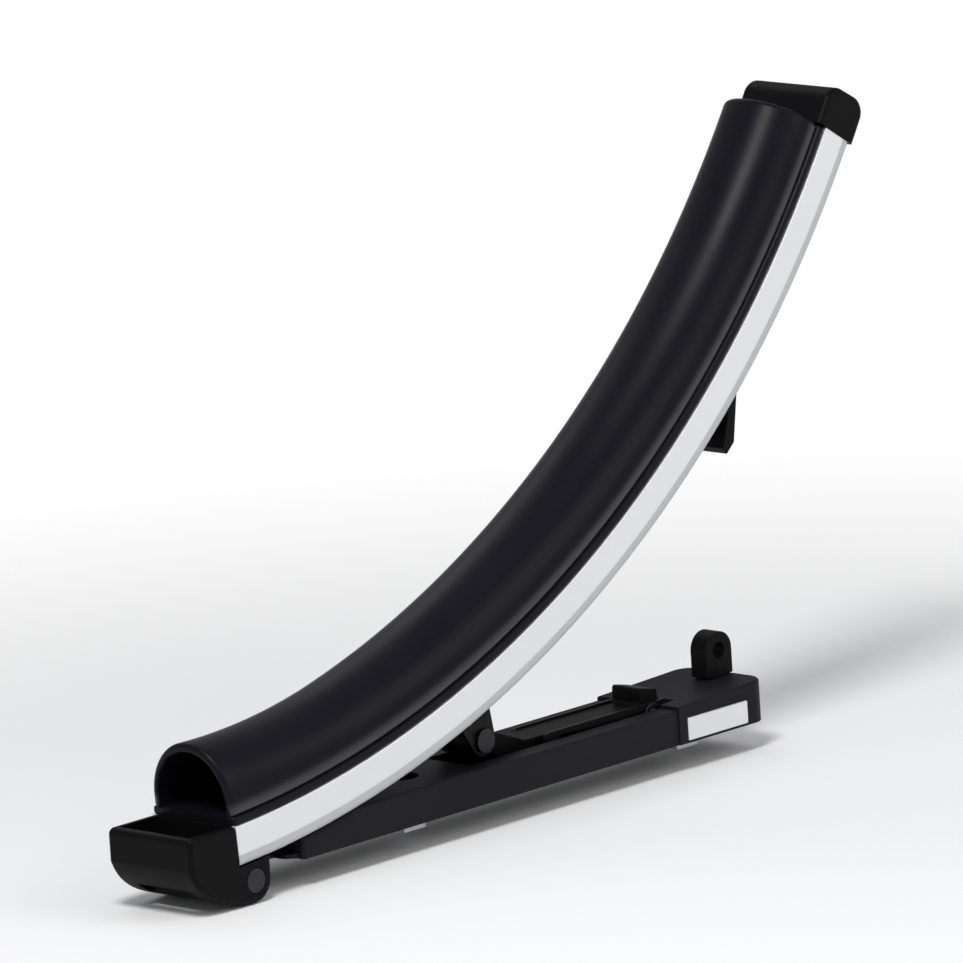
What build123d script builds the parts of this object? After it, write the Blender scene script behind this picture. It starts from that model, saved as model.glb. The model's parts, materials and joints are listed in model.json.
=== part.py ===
"""J-style kayak carrier with a T-bolted base, a tilting curved arm and a prop strut.

Millimetres. X runs along the base, from the foot to the strap post, Y across it, Z up.
The origin is the middle of the seat's underside, halfway between the two T-bolts.
"""
import os
from math import asin, cos, degrees, hypot, radians, sin, sqrt

from build123d import *

os.makedirs("parts", exist_ok=True)

# Clearances
SEAT_GAP = 0.15
PIN_GAP = 0.05
SIDE_GAP = 0.5
SCREW_GAP = 0.1

# T-bolts, whose heads hold under a lip
BOLT_SPACING = 230.0
POST_FROM_BOLT = 34.0
POST_X = BOLT_SPACING / 2 + POST_FROM_BOLT
BOLT_R = 4.0
BOLT_TOP = 16.0
T_HEAD_SIZE = 19.0
T_HEAD_T = 3.5
BAR_LIP = 5.0
NUT_FLANGE_R = 8.8
NUT_FLANGE_T = 1.6
NUT_FLATS = 13.0
NUT_H = 8.0

# Seat: rubber strips under a steel plate
SEAT_T = 2.0
SEAT_HALF = 24.0
SEAT_LENGTH = 196.0
OUTER_SEAT_LENGTH = 86.0
OUTER_SEAT_X = -183.0
SEAT_CORNER = 4.0
PLATE_T = 2.5
PLATE_HALF = 27.5
PLATE_START_X = -236.0
PLATE_PAST_POST = 7.0
PLATE_END_X = POST_X + PLATE_PAST_POST
PLATE_CORNER = 8.0
PLATE_TOP = SEAT_T + PLATE_T

# Hinge of the arm
HINGE_X = -268.0
HINGE_PIN_R = 4.0
KNUCKLE_R = HINGE_PIN_R + PIN_GAP + PLATE_T
HINGE_Z = PLATE_TOP - KNUCKLE_R
KNUCKLE_HALF = 15.5
BUSH_R = 6.0
BUSH_FLANGE_R = 7.8
BUSH_FLANGE_T = 1.2
CHEEK_IN = KNUCKLE_HALF + SIDE_GAP + BUSH_FLANGE_T
PIN_HEAD_R = 7.0
PIN_HEAD_T = 2.2
CLIP_T = 1.4
PIN_TAIL = 0.8

# Curved arm: one arc, described by its back
ARM_OVERHANG = 12.0
ARM_LIFT = 3.5
ARM_SLOPE = 3.8
ARM_SWEEP = 53.2
ARM_BACK_R = 697.0
ARM_T = 23.5
ARM_HALF = 33.0
ARM_WALL = 2.5
ARM_BACK_FILLET = 4.0
PAD_SLOT_HALF = 29.0
PAD_SLOT_DEPTH = 3.5
WEB_Y = 12.0
WEB_T = 2.2
PORT_R = 2.5
PORT_WALL = 2.2
ARM_END_X = HINGE_X - ARM_OVERHANG
ARM_END_Z = PLATE_TOP + ARM_LIFT
ARC_X = ARM_END_X - ARM_BACK_R * sin(radians(ARM_SLOPE))
ARC_Z = ARM_END_Z + ARM_BACK_R * cos(radians(ARM_SLOPE))
ARM_FRONT_R = ARM_BACK_R - ARM_T
ARM_TIP = ARM_SLOPE + ARM_SWEEP
CELL_TOP_R = ARM_FRONT_R + PAD_SLOT_DEPTH + ARM_WALL
CELL_BACK_R = ARM_BACK_R - ARM_WALL
PORT_AT_R = (CELL_TOP_R + CELL_BACK_R) / 2
ARM_AXIS = Axis((ARC_X, 0, ARC_Z), (0, -1, 0))

# Rubber pad
PAD_HALF = 32.5
PAD_H = 38.4
PAD_SHOULDER = 10.5
PAD_LIP = 6.4
PAD_LIP_SWEEP = 10.0
PAD_LIP_POWER = 1.7
PAD_STATIONS = 14
PAD_BEAD = 5.5
PAD_BEAD_STEP = 1.8
PAD_SIDE_WALL = 6.5
PAD_ROOF = 5.5
PAD_FLOOR = 4.5
PAD_END_WALL = 12.0

# Tip cap
CAP_LENGTH = 26.0
CAP_BACK = 2.8
CAP_FRONT = 7.0
CAP_SIDE = 0.6
CAP_WALL = 3.0
CAP_END = 8.0
CAP_ROUND = 10.5
CAP_CORNER = 3.5
CAP_LIP_LENGTH = 11.0
CAP_LIP_HALF = 27.0
PLUG_LENGTH = 22.0
PLUG_GAP = 0.6
END_SCREW_R = 2.4
END_SCREW_HEAD_R = 4.2
END_SCREW_HEAD_T = 2.6
END_SCREW_BITE = 10.0

# Foot
FOOT_HALF = 32.5
FOOT_REACH = 38.0
FOOT_TOP = 31.4
NOSE_LOW = 12.4
BELLY_X = -12.0
BELLY_Z = -10.5
CHEEK_R = 13.0
FOOT_ROUND = 3.0
NOSE_ROUND = 4.0
CUP_WALL = 5.0
CUP_FLOOR = 10.0
CUP_END = 4.0
STRAP_SLOT_LENGTH = 12.0
STRAP_SLOT_HALF = 20.0
STRAP_SLOT_FROM_NOSE = 9.0

# Strut, its pivot under the arm and the pin at its lower end
PIVOT_X = -60.0
PIVOT_DROP = 25.0
PIVOT_PIN_R = 4.0
SLIDE_FROM_BOLT = 35.0
SLIDE_X = BOLT_SPACING / 2 - SLIDE_FROM_BOLT
SLIDE_Z = 18.0
SLIDE_PIN_R = 4.0
SLOT_GAP = 0.45
NOTCH_DEPTH = 3.2
NOTCHES = (0.36, 0.68, 1.0)
TILT = 25.0
STRUT_HALF = 11.0
EYE_R = 8.5
BOSS_R = 9.5
STRUT_BODY_R = 6.0
STRUT_BEND_FROM_PIVOT = 36.0
STRUT_BEND_RISE = 0.5
STRUT_RIM = 2.8
STRUT_WEB = 2.5
TAB_BEFORE_PIN = 5.0
TAB_PAST_PIN = 9.0
TAB_ABOVE_PIN = 16.5
TAB_FALL = 3.0
TAB_ROUND = 2.0
ARC_TO_PIVOT = ARM_BACK_R + PIVOT_DROP
PIVOT_ANGLE = degrees(asin((PIVOT_X - ARC_X) / ARC_TO_PIVOT))
PIVOT_Z = ARC_Z - sqrt(ARC_TO_PIVOT**2 - (PIVOT_X - ARC_X) ** 2)
STRUT_L = hypot(SLIDE_X - PIVOT_X, SLIDE_Z - PIVOT_Z)
STRUT_REST = degrees(asin((SLIDE_Z - PIVOT_Z) / STRUT_L))


def pivot_at(tilt):
    """The pivot's place with the arm raised by tilt degrees."""
    dx = PIVOT_X - HINGE_X
    dz = PIVOT_Z - HINGE_Z
    c = cos(radians(tilt))
    s = sin(radians(tilt))
    return HINGE_X + dx * c - dz * s, HINGE_Z + dx * s + dz * c


# The strut turns in step with the arm, so that its pin is back at its first height at full tilt
STRUT_FULL = degrees(asin((SLIDE_Z - pivot_at(TILT)[1]) / STRUT_L)) - STRUT_REST
STRUT_PER_TILT = STRUT_FULL / TILT


def slide_at(tilt):
    """The lower pin's place with the arm raised by tilt degrees."""
    px, pz = pivot_at(tilt)
    turn = radians(STRUT_REST + STRUT_PER_TILT * tilt)
    return px + STRUT_L * cos(turn), pz + STRUT_L * sin(turn)


# Rail for the strut's pin
RAIL_T = 2.0
RAIL_WALL = 2.4
RAIL_IN = STRUT_HALF + SIDE_GAP
RAIL_HALF = RAIL_IN + RAIL_WALL
RAIL_END = 16.0
RAIL_ABOVE = 3.0
RAIL_CORNER = 5.0
RAIL_SCREW_IN = 6.0
RAIL_FLOOR = PLATE_TOP + RAIL_T
RAIL_TOP = SLIDE_Z + SLIDE_PIN_R + SLOT_GAP + RAIL_ABOVE
RAIL_START_X = slide_at(TILT)[0] - RAIL_END
RAIL_END_X = SLIDE_X + RAIL_END
SLIDE_PIN_HALF = RAIL_HALF + SIDE_GAP + CLIP_T + PIN_TAIL

# Bracket on the back of the arm
BRACKET_T = 2.5
BRACKET_HALF = 24.0
BRACKET_SPAN = 3.4
EAR_IN = STRUT_HALF + SIDE_GAP
EAR_R = 9.5
RIVET_R = 2.4
RIVET_HEAD_R = 4.4
RIVET_HEAD_T = 1.8
RIVET_Y = 19.5
RIVET_AT = 1.1

# Strap hook on the back of the arm
HOOK_AT = 42.3
HOOK_SPAN = 2.8
HOOK_H = 21.0
HOOK_HALF = 27.0
HOOK_LIP = 5.0
HOOK_SEAT = 4.0
HOOK_SCREW_Y = 20.0
HOOK_SCREW_R = 2.0
HOOK_SCREW_HEAD_R = 3.6
HOOK_SCREW_HEAD_T = 1.8
HOOK_SCREW_UNDER = 1.4

# Housing and end cover
HOUSING_HALF = 31.0
HOUSING_LOW = 1.0
HOUSING_TOP = 21.5
HOUSING_START_X = -228.0
HOUSING_PAST_SLIDE = 4.0
HOUSING_END_X = SLIDE_X + HOUSING_PAST_SLIDE
HOUSING_WALL = 2.5
HOUSING_ROUND = 2.2
SADDLE_GAP = 0.5
DECK_GAP = 0.9
DECK_SLOT_HALF = SLIDE_PIN_HALF + DECK_GAP
DECK_SLOT_BEFORE = 16.0
DECK_SLOT_START_X = PIVOT_X - DECK_SLOT_BEFORE
NUT_HOLE_R = 10.5
RIB_T = 2.0
RIB_X = (-152.0, -84.0)
CASE_SCREW_R = 2.0
CASE_SCREW_HEAD_R = 3.8
CASE_SCREW_LENGTH = 11.0
CASE_BOSS_R = 3.9
DECK_SCREW_GAP = 0.3
DECK_SCREW_FROM_END = 30.0
DECK_SCREW_X = HOUSING_END_X - DECK_SCREW_FROM_END
DECK_SCREW_Y = DECK_SLOT_HALF + CASE_BOSS_R + DECK_SCREW_GAP
SADDLE_SCREW_X = -186.0
SADDLE_SCREW_Y = 20.0
COVER_SCREW_BEFORE_POST = 16.0
COVER_SCREW_X = POST_X - COVER_SCREW_BEFORE_POST
COVER_SCREW_Y = 20.5
COVER_HALF = 32.0
COVER_GAP = 0.4
COVER_PAST_PLATE = 5.0
COVER_END_X = PLATE_END_X + COVER_PAST_PLATE
COVER_TOP = 23.5
COVER_RISE = 2.5
COVER_CORNER = 12.0
COVER_ROUND = 2.0
COVER_START_X = HOUSING_END_X + COVER_GAP
LABEL_LENGTH = 52.0
LABEL_H = 14.0
LABEL_PAST_BOLT = 2.3
LABEL_X = BOLT_SPACING / 2 + LABEL_PAST_BOLT
LABEL_Z = 9.0
LABEL_DEPTH = 0.8

# Strap post
POST_STEM = 14.0
POST_WIDTH = 22.0
POST_HALF = 6.0
POST_TOP = 52.5
POST_EYE_R = 5.0
POST_SCREW_R = 3.0
POST_SCREW_HEAD_R = 5.4
POST_SCREW_LENGTH = 16.0


def section_plane(angle):
    """A plane across the arm: x is Y, y points to the arc's centre, so a radius r lies at y = -r."""
    a = radians(angle)
    return Plane(origin=(ARC_X, 0, ARC_Z), x_dir=(0, 1, 0), z_dir=(cos(a), 0, sin(a)))


def polar(radius, angle):
    """A point of the XZ plane from its radius and angle on the arm's arc."""
    a = radians(angle)
    return ARC_X + radius * sin(a), ARC_Z - radius * cos(a)


def radial_place(radius, angle, y):
    """A place on the arm whose Z axis points away from the arc's centre."""
    x, z = polar(radius, angle)
    a = radians(angle)
    return Plane(origin=(x, y, z), x_dir=(0, 1, 0), z_dir=(sin(a), 0, -cos(a))).location


def along_place(radius, angle, y):
    """A place on the arm whose Z axis points along it, towards the tip."""
    x, z = polar(radius, angle)
    a = radians(angle)
    return Plane(origin=(x, y, z), x_dir=(0, 1, 0), z_dir=(cos(a), 0, sin(a))).location


def turn_of(length, radius=ARM_BACK_R):
    """The angle that a length takes up on the arc."""
    return degrees(length / radius)


def pad_height(angle):
    """The pad's height over the arm's front, which rises to the lip at the lower end."""
    return PAD_H + PAD_LIP * max(0, 1 - (angle - ARM_SLOPE) / PAD_LIP_SWEEP) ** PAD_LIP_POWER


SIDES = (1, -1)
BOLT_AT = ((-BOLT_SPACING / 2, 0), (BOLT_SPACING / 2, 0))
HOUSING_SCREW_AT = tuple((SADDLE_SCREW_X, j * SADDLE_SCREW_Y) for j in SIDES) + tuple(
    (DECK_SCREW_X, j * DECK_SCREW_Y) for j in SIDES
)
COVER_SCREW_AT = tuple((COVER_SCREW_X, j * COVER_SCREW_Y) for j in SIDES)
RAIL_SCREW_AT = ((RAIL_START_X + RAIL_SCREW_IN, 0), (RAIL_END_X - RAIL_SCREW_IN, 0))
RIVET_PLACES = [(PIVOT_ANGLE + k * RIVET_AT, j * RIVET_Y) for k in SIDES for j in SIDES]
HOOK_SCREW_ANGLE = HOOK_AT + 0.18 * HOOK_SPAN
BASE = (Align.CENTER, Align.CENTER, Align.MIN)
TOP = (Align.CENTER, Align.CENTER, Align.MAX)

# Base plate: a strip whose outer end is rolled into the hinge knuckle
with BuildPart() as base_plate:
    with BuildSketch(Plane.XY.offset(SEAT_T)):
        with Locations(((PLATE_START_X + PLATE_END_X) / 2, 0)):
            RectangleRounded(PLATE_END_X - PLATE_START_X, 2 * PLATE_HALF, PLATE_CORNER)
        with Locations((HINGE_X, 0)):
            Rectangle(
                PLATE_START_X + 2 * PLATE_CORNER - HINGE_X,
                2 * KNUCKLE_HALF,
                align=(Align.MIN, Align.CENTER),
            )
    extrude(amount=PLATE_T)
    with BuildSketch(Plane.XZ):
        with Locations((HINGE_X, HINGE_Z)):
            Circle(KNUCKLE_R)
    extrude(amount=KNUCKLE_HALF, both=True)
    with BuildSketch(Plane.XZ):
        with Locations((HINGE_X, HINGE_Z)):
            Circle(HINGE_PIN_R + PIN_GAP)
    extrude(amount=KNUCKLE_HALF + 1, both=True, mode=Mode.SUBTRACT)
    with BuildSketch(Plane.XY.offset(SEAT_T)):
        with Locations(*BOLT_AT):
            Circle(BOLT_R + SCREW_GAP)
        with Locations(*HOUSING_SCREW_AT, *COVER_SCREW_AT, *RAIL_SCREW_AT):
            Circle(CASE_SCREW_R + SCREW_GAP)
        with Locations((POST_X, 0)):
            Circle(POST_SCREW_R + SCREW_GAP)
    extrude(amount=PLATE_T, mode=Mode.SUBTRACT)
    with Locations(*[(x, y, SEAT_T) for x, y in HOUSING_SCREW_AT + COVER_SCREW_AT]):
        Cone(
            CASE_SCREW_HEAD_R + SCREW_GAP,
            CASE_SCREW_R + SCREW_GAP,
            CASE_SCREW_HEAD_R - CASE_SCREW_R,
            align=BASE,
            mode=Mode.SUBTRACT,
        )
    with Locations((POST_X, 0, SEAT_T)):
        Cone(
            POST_SCREW_HEAD_R + SCREW_GAP,
            POST_SCREW_R + SCREW_GAP,
            POST_SCREW_HEAD_R - POST_SCREW_R,
            align=BASE,
            mode=Mode.SUBTRACT,
        )
base_plate.part.label = "base_plate"
export_step(base_plate.part, "parts/base_plate.step")

# Rubber strips: the long one between the bolts is the seat, a short one lies under the hinge end
with BuildPart() as seat_pads:
    with BuildSketch():
        RectangleRounded(SEAT_LENGTH, 2 * SEAT_HALF, SEAT_CORNER)
        with Locations((OUTER_SEAT_X, 0)):
            RectangleRounded(OUTER_SEAT_LENGTH, 2 * SEAT_HALF, SEAT_CORNER)
    extrude(amount=SEAT_T)
seat_pads.part.label = "seat_pads"
export_step(seat_pads.part, "parts/seat_pads.step")

# T-bolts and their flange nuts
with BuildPart() as track_bolts:
    with BuildSketch(Plane.XY.offset(-BAR_LIP - T_HEAD_T)):
        with Locations(*BOLT_AT):
            RectangleRounded(T_HEAD_SIZE, T_HEAD_SIZE, 2.0)
    extrude(amount=T_HEAD_T)
    with BuildSketch(Plane.XY.offset(-BAR_LIP)):
        with Locations(*BOLT_AT):
            Circle(BOLT_R)
    extrude(amount=BAR_LIP + BOLT_TOP)
    chamfer(track_bolts.faces().filter_by(Axis.Z).group_by(Axis.Z)[-1].edges(), 0.8)
track_bolts.part.label = "track_bolts"
export_step(track_bolts.part, "parts/track_bolts.step")

with BuildPart() as track_nuts:
    with BuildSketch(Plane.XY.offset(PLATE_TOP)):
        with Locations(*BOLT_AT):
            Circle(NUT_FLANGE_R)
    extrude(amount=NUT_FLANGE_T)
    with BuildSketch(Plane.XY.offset(PLATE_TOP)):
        with Locations(*BOLT_AT):
            RegularPolygon(NUT_FLATS / 2, 6, major_radius=False)
    extrude(amount=NUT_H)
    with BuildSketch(Plane.XY.offset(PLATE_TOP)):
        with Locations(*BOLT_AT):
            Circle(BOLT_R + PIN_GAP)
    extrude(amount=NUT_H, mode=Mode.SUBTRACT)
track_nuts.part.label = "track_nuts"
export_step(track_nuts.part, "parts/track_nuts.step")

# Rail: a channel with a curved slot in each wall, notched along its lower edge
with BuildPart() as strut_rail:
    with BuildSketch(Plane.XZ):
        with Locations(((RAIL_START_X + RAIL_END_X) / 2, (PLATE_TOP + RAIL_TOP) / 2)):
            Rectangle(RAIL_END_X - RAIL_START_X, RAIL_TOP - PLATE_TOP)
    extrude(amount=RAIL_HALF, both=True)
    fillet(strut_rail.edges().filter_by(Axis.Y).group_by(Axis.Z)[-1], RAIL_CORNER)
    with BuildSketch(Plane.YZ.offset(RAIL_START_X - 1)):
        with Locations((0, RAIL_FLOOR)):
            Rectangle(2 * RAIL_IN, RAIL_TOP, align=(Align.CENTER, Align.MIN))
    extrude(amount=RAIL_END_X - RAIL_START_X + 2, mode=Mode.SUBTRACT)
    with BuildSketch(Plane.XZ):
        for first in (0, TILT / 2):
            SlotArc(
                Edge.make_three_point_arc(
                    slide_at(first), slide_at(first + TILT / 4), slide_at(first + TILT / 2)
                ),
                2 * (SLIDE_PIN_R + SLOT_GAP),
            )
        for share in NOTCHES:
            notch_x, notch_z = slide_at(share * TILT)
            with Locations((notch_x, notch_z - NOTCH_DEPTH)):
                Circle(SLIDE_PIN_R + SLOT_GAP)
    extrude(amount=RAIL_HALF + 1, both=True, mode=Mode.SUBTRACT)
    with Locations(*[(x, y, RAIL_FLOOR) for x, y in RAIL_SCREW_AT]):
        Cone(
            CASE_SCREW_R + SCREW_GAP,
            CASE_SCREW_R + SCREW_GAP + RAIL_T - 0.4,
            RAIL_T,
            align=TOP,
            mode=Mode.SUBTRACT,
        )
strut_rail.part.label = "strut_rail"
export_step(strut_rail.part, "parts/strut_rail.step")

with BuildPart() as rail_screws:
    with Locations(*[(x, y, RAIL_FLOOR) for x, y in RAIL_SCREW_AT]):
        Cone(CASE_SCREW_R, CASE_SCREW_R + RAIL_T - 0.4, RAIL_T, align=TOP)
        Cylinder(CASE_SCREW_R, RAIL_T + PLATE_T - SCREW_GAP, align=TOP)
rail_screws.part.label = "rail_screws"
export_step(rail_screws.part, "parts/rail_screws.step")

# Housing: a moulded shell over the plate, cut to a saddle under the arm
with BuildPart() as base_housing:
    with BuildSketch(Plane.XZ):
        with Locations((HOUSING_START_X, HOUSING_LOW)):
            Rectangle(
                HOUSING_END_X - HOUSING_START_X,
                HOUSING_TOP - HOUSING_LOW,
                align=(Align.MIN, Align.MIN),
            )
        with Locations((ARC_X, ARC_Z)):
            Circle(ARM_BACK_R + SADDLE_GAP, mode=Mode.SUBTRACT)
    extrude(amount=HOUSING_HALF, both=True)
    fillet(base_housing.edges().filter_by(Axis.Z).group_by(Axis.X)[0], HOUSING_WALL)
    crest = [
        e
        for e in base_housing.edges()
        if abs(abs(e.center().Y) - HOUSING_HALF) < 0.01
        and e.bounding_box().size.X > 4 * HOUSING_ROUND
        and e.center().Z > HOUSING_LOW + 1
    ]
    fillet(crest, HOUSING_ROUND)
    with BuildSketch(Plane.XZ):
        with Locations((HOUSING_START_X + HOUSING_WALL, HOUSING_LOW - 1)):
            Rectangle(
                HOUSING_END_X - HOUSING_START_X,
                HOUSING_TOP - HOUSING_WALL - HOUSING_LOW + 1,
                align=(Align.MIN, Align.MIN),
            )
        with Locations((ARC_X, ARC_Z)):
            Circle(ARM_BACK_R + SADDLE_GAP + HOUSING_WALL, mode=Mode.SUBTRACT)
        with Locations(*[(x, HOUSING_TOP) for x in RIB_X]):
            Rectangle(RIB_T, 2 * (HOUSING_TOP - PLATE_TOP - SIDE_GAP), mode=Mode.SUBTRACT)
    extrude(amount=HOUSING_HALF - HOUSING_WALL, both=True, mode=Mode.SUBTRACT)
    with BuildSketch(Plane.XY.offset(PLATE_TOP)):
        with Locations(*HOUSING_SCREW_AT):
            Circle(CASE_BOSS_R)
    extrude(until=Until.NEXT)
    with BuildSketch(Plane.XY.offset(PLATE_TOP)):
        with Locations(*HOUSING_SCREW_AT):
            Circle(CASE_SCREW_R + PIN_GAP)
    extrude(amount=CASE_SCREW_LENGTH - PLATE_T + 0.4, mode=Mode.SUBTRACT)
    with BuildSketch(Plane.YZ.offset(HOUSING_START_X - 1)):
        Rectangle(2 * (PLATE_HALF + SEAT_GAP), 2 * (PLATE_TOP + SEAT_GAP))
    extrude(amount=HOUSING_WALL + 2, mode=Mode.SUBTRACT)
    with BuildSketch(Plane.XY.offset(HOUSING_TOP + 1)):
        with Locations((DECK_SLOT_START_X, 0)):
            Rectangle(
                HOUSING_END_X - DECK_SLOT_START_X + 1,
                2 * DECK_SLOT_HALF,
                align=(Align.MIN, Align.CENTER),
            )
        with Locations(BOLT_AT[0]):
            Circle(NUT_HOLE_R)
    extrude(amount=-HOUSING_WALL - 2, mode=Mode.SUBTRACT)
base_housing.part.label = "base_housing"
export_step(base_housing.part, "parts/base_housing.step")

# End cover: its top climbs gently to the strap post, and its front face holds the shallow label place
with BuildPart() as end_cover:
    with BuildSketch(Plane.XY.offset(HOUSING_LOW)):
        with Locations((COVER_START_X, 0)):
            Rectangle(COVER_END_X - COVER_START_X, 2 * COVER_HALF, align=(Align.MIN, Align.CENTER))
    extrude(amount=COVER_TOP + COVER_RISE - HOUSING_LOW)
    fillet(end_cover.edges().filter_by(Axis.Z).group_by(Axis.X)[-1], COVER_CORNER)
    with BuildSketch(Plane.XZ):
        with BuildLine():
            Polyline(
                (COVER_START_X, COVER_TOP),
                (COVER_END_X, COVER_TOP + COVER_RISE),
                (COVER_START_X, COVER_TOP + COVER_RISE),
                close=True,
            )
        make_face()
    extrude(amount=COVER_HALF + 1, both=True, mode=Mode.SUBTRACT)
    brim = [e for e in end_cover.faces().sort_by(Axis.Z)[-1].edges() if e.center().X > COVER_START_X + 1]
    fillet(brim, COVER_ROUND)
    with BuildSketch(Plane.XY.offset(HOUSING_LOW - 1)) as cavity:
        with Locations((COVER_START_X - 1, 0)):
            Rectangle(
                COVER_END_X - COVER_START_X + 1 - HOUSING_WALL,
                2 * (COVER_HALF - HOUSING_WALL),
                align=(Align.MIN, Align.CENTER),
            )
        fillet(cavity.vertices().group_by(Axis.X)[-1], COVER_CORNER - HOUSING_WALL)
        with Locations(*COVER_SCREW_AT):
            Circle(CASE_BOSS_R, mode=Mode.SUBTRACT)
    extrude(amount=COVER_TOP - HOUSING_WALL - HOUSING_LOW + 1, mode=Mode.SUBTRACT)
    with BuildSketch(Plane.XY.offset(HOUSING_LOW - 1)):
        with Locations(*COVER_SCREW_AT):
            Circle(CASE_BOSS_R)
    extrude(amount=PLATE_TOP - HOUSING_LOW + 1, mode=Mode.SUBTRACT)
    with BuildSketch(Plane.XY.offset(PLATE_TOP)):
        with Locations(*COVER_SCREW_AT):
            Circle(CASE_SCREW_R + PIN_GAP)
    extrude(amount=CASE_SCREW_LENGTH - PLATE_T + 0.4, mode=Mode.SUBTRACT)
    with BuildSketch(Plane.XY.offset(PLATE_TOP)):
        with Locations((COVER_START_X - 1, 0)):
            Rectangle(
                RAIL_END_X + SIDE_GAP - COVER_START_X + 1,
                2 * DECK_SLOT_HALF,
                align=(Align.MIN, Align.CENTER),
            )
        with Locations((POST_X, 0)):
            Rectangle(POST_STEM + 2 * COVER_GAP, POST_STEM + 2 * COVER_GAP)
    extrude(amount=COVER_TOP + COVER_RISE, mode=Mode.SUBTRACT)
    with BuildSketch(Plane.XZ.offset(COVER_HALF)):
        with Locations((LABEL_X, LABEL_Z)):
            Rectangle(LABEL_LENGTH, LABEL_H)
    extrude(amount=-LABEL_DEPTH, mode=Mode.SUBTRACT)
end_cover.part.label = "end_cover"
export_step(end_cover.part, "parts/end_cover.step")

with BuildPart() as housing_screws:
    with Locations(*[(x, y, SEAT_T) for x, y in HOUSING_SCREW_AT + COVER_SCREW_AT]):
        Cone(CASE_SCREW_HEAD_R, CASE_SCREW_R, CASE_SCREW_HEAD_R - CASE_SCREW_R, align=BASE)
        Cylinder(CASE_SCREW_R, CASE_SCREW_LENGTH, align=BASE)
housing_screws.part.label = "housing_screws"
export_step(housing_screws.part, "parts/housing_screws.step")

# Strap post: a square stem bolted to the plate, ending in an eye
with BuildPart() as strap_post:
    with BuildSketch(Plane.XY.offset(PLATE_TOP)):
        with Locations((POST_X, 0)):
            Rectangle(POST_STEM, POST_STEM)
    extrude(amount=COVER_TOP + COVER_RISE + SIDE_GAP - PLATE_TOP)
    with BuildSketch(Plane.XZ):
        with Locations((POST_X, COVER_TOP + COVER_RISE + SIDE_GAP)):
            Rectangle(
                POST_WIDTH,
                POST_TOP - POST_WIDTH / 2 - COVER_TOP - COVER_RISE - SIDE_GAP,
                align=(Align.CENTER, Align.MIN),
            )
        with Locations((POST_X, POST_TOP - POST_WIDTH / 2)):
            Circle(POST_WIDTH / 2)
            Circle(POST_EYE_R, mode=Mode.SUBTRACT)
    extrude(amount=POST_HALF, both=True)
    with BuildSketch(Plane.XY.offset(PLATE_TOP)):
        with Locations((POST_X, 0)):
            Circle(POST_SCREW_R + PIN_GAP)
    extrude(amount=POST_SCREW_LENGTH - PLATE_T + 0.4, mode=Mode.SUBTRACT)
strap_post.part.label = "strap_post"
export_step(strap_post.part, "parts/strap_post.step")

with BuildPart() as post_screw:
    with Locations((POST_X, 0, SEAT_T)):
        Cone(POST_SCREW_HEAD_R, POST_SCREW_R, POST_SCREW_HEAD_R - POST_SCREW_R, align=BASE)
        Cylinder(POST_SCREW_R, POST_SCREW_LENGTH, align=BASE)
post_screw.part.label = "post_screw"
export_step(post_screw.part, "parts/post_screw.step")

# Hinge pin with a head at the front, and the push-on clip at its other end
with BuildPart() as hinge_pin:
    with BuildSketch(Plane.XZ.offset(FOOT_HALF - PIN_HEAD_T)):
        with Locations((HINGE_X, HINGE_Z)):
            Circle(PIN_HEAD_R)
    extrude(amount=PIN_HEAD_T)
    with BuildSketch(Plane.XZ.offset(FOOT_HALF - PIN_HEAD_T)):
        with Locations((HINGE_X, HINGE_Z)):
            Circle(HINGE_PIN_R)
    extrude(amount=-2 * FOOT_HALF + PIN_HEAD_T)
hinge_pin.part.label = "hinge_pin"
export_step(hinge_pin.part, "parts/hinge_pin.step")

with BuildPart() as hinge_clip:
    with BuildSketch(Plane.XZ.offset(-FOOT_HALF + PIN_HEAD_T)):
        with Locations((HINGE_X, HINGE_Z)):
            Circle(PIN_HEAD_R)
            Circle(HINGE_PIN_R + PIN_GAP, mode=Mode.SUBTRACT)
    extrude(amount=-CLIP_T)
hinge_clip.part.label = "hinge_clip"
export_step(hinge_clip.part, "parts/hinge_clip.step")

# Arm: a hollow extrusion bent to one arc, with a slot for the pad's foot and two screw ports
with BuildPart() as arm_beam:
    with BuildSketch(section_plane(ARM_SLOPE)) as beam_section:
        with Locations((0, -(ARM_BACK_R + ARM_FRONT_R) / 2)):
            Rectangle(2 * ARM_HALF, ARM_T)
        fillet(beam_section.vertices().group_by(Axis.Y)[0], ARM_BACK_FILLET)
        with Locations((0, -ARM_FRONT_R)):
            Rectangle(2 * PAD_SLOT_HALF, 2 * PAD_SLOT_DEPTH, mode=Mode.SUBTRACT)
        with Locations((0, -(CELL_TOP_R + CELL_BACK_R) / 2)):
            Rectangle(2 * (ARM_HALF - ARM_WALL), CELL_BACK_R - CELL_TOP_R, mode=Mode.SUBTRACT)
            with Locations((WEB_Y, 0), (-WEB_Y, 0)):
                Rectangle(WEB_T, CELL_BACK_R - CELL_TOP_R)
                Circle(PORT_R + PORT_WALL)
                Circle(PORT_R, mode=Mode.SUBTRACT)
    revolve(axis=ARM_AXIS, revolution_arc=ARM_SWEEP)
    with Locations(*[radial_place(ARM_BACK_R, a, y) for a, y in RIVET_PLACES]):
        Cylinder(RIVET_R + SCREW_GAP, 2 * ARM_WALL + 2, mode=Mode.SUBTRACT)
    with Locations(*[radial_place(ARM_BACK_R, HOOK_SCREW_ANGLE, j * HOOK_SCREW_Y) for j in SIDES]):
        Cylinder(HOOK_SCREW_R + PIN_GAP, 2 * ARM_WALL + 2, mode=Mode.SUBTRACT)
arm_beam.part.label = "arm_beam"
export_step(arm_beam.part, "parts/arm_beam.step")

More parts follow.
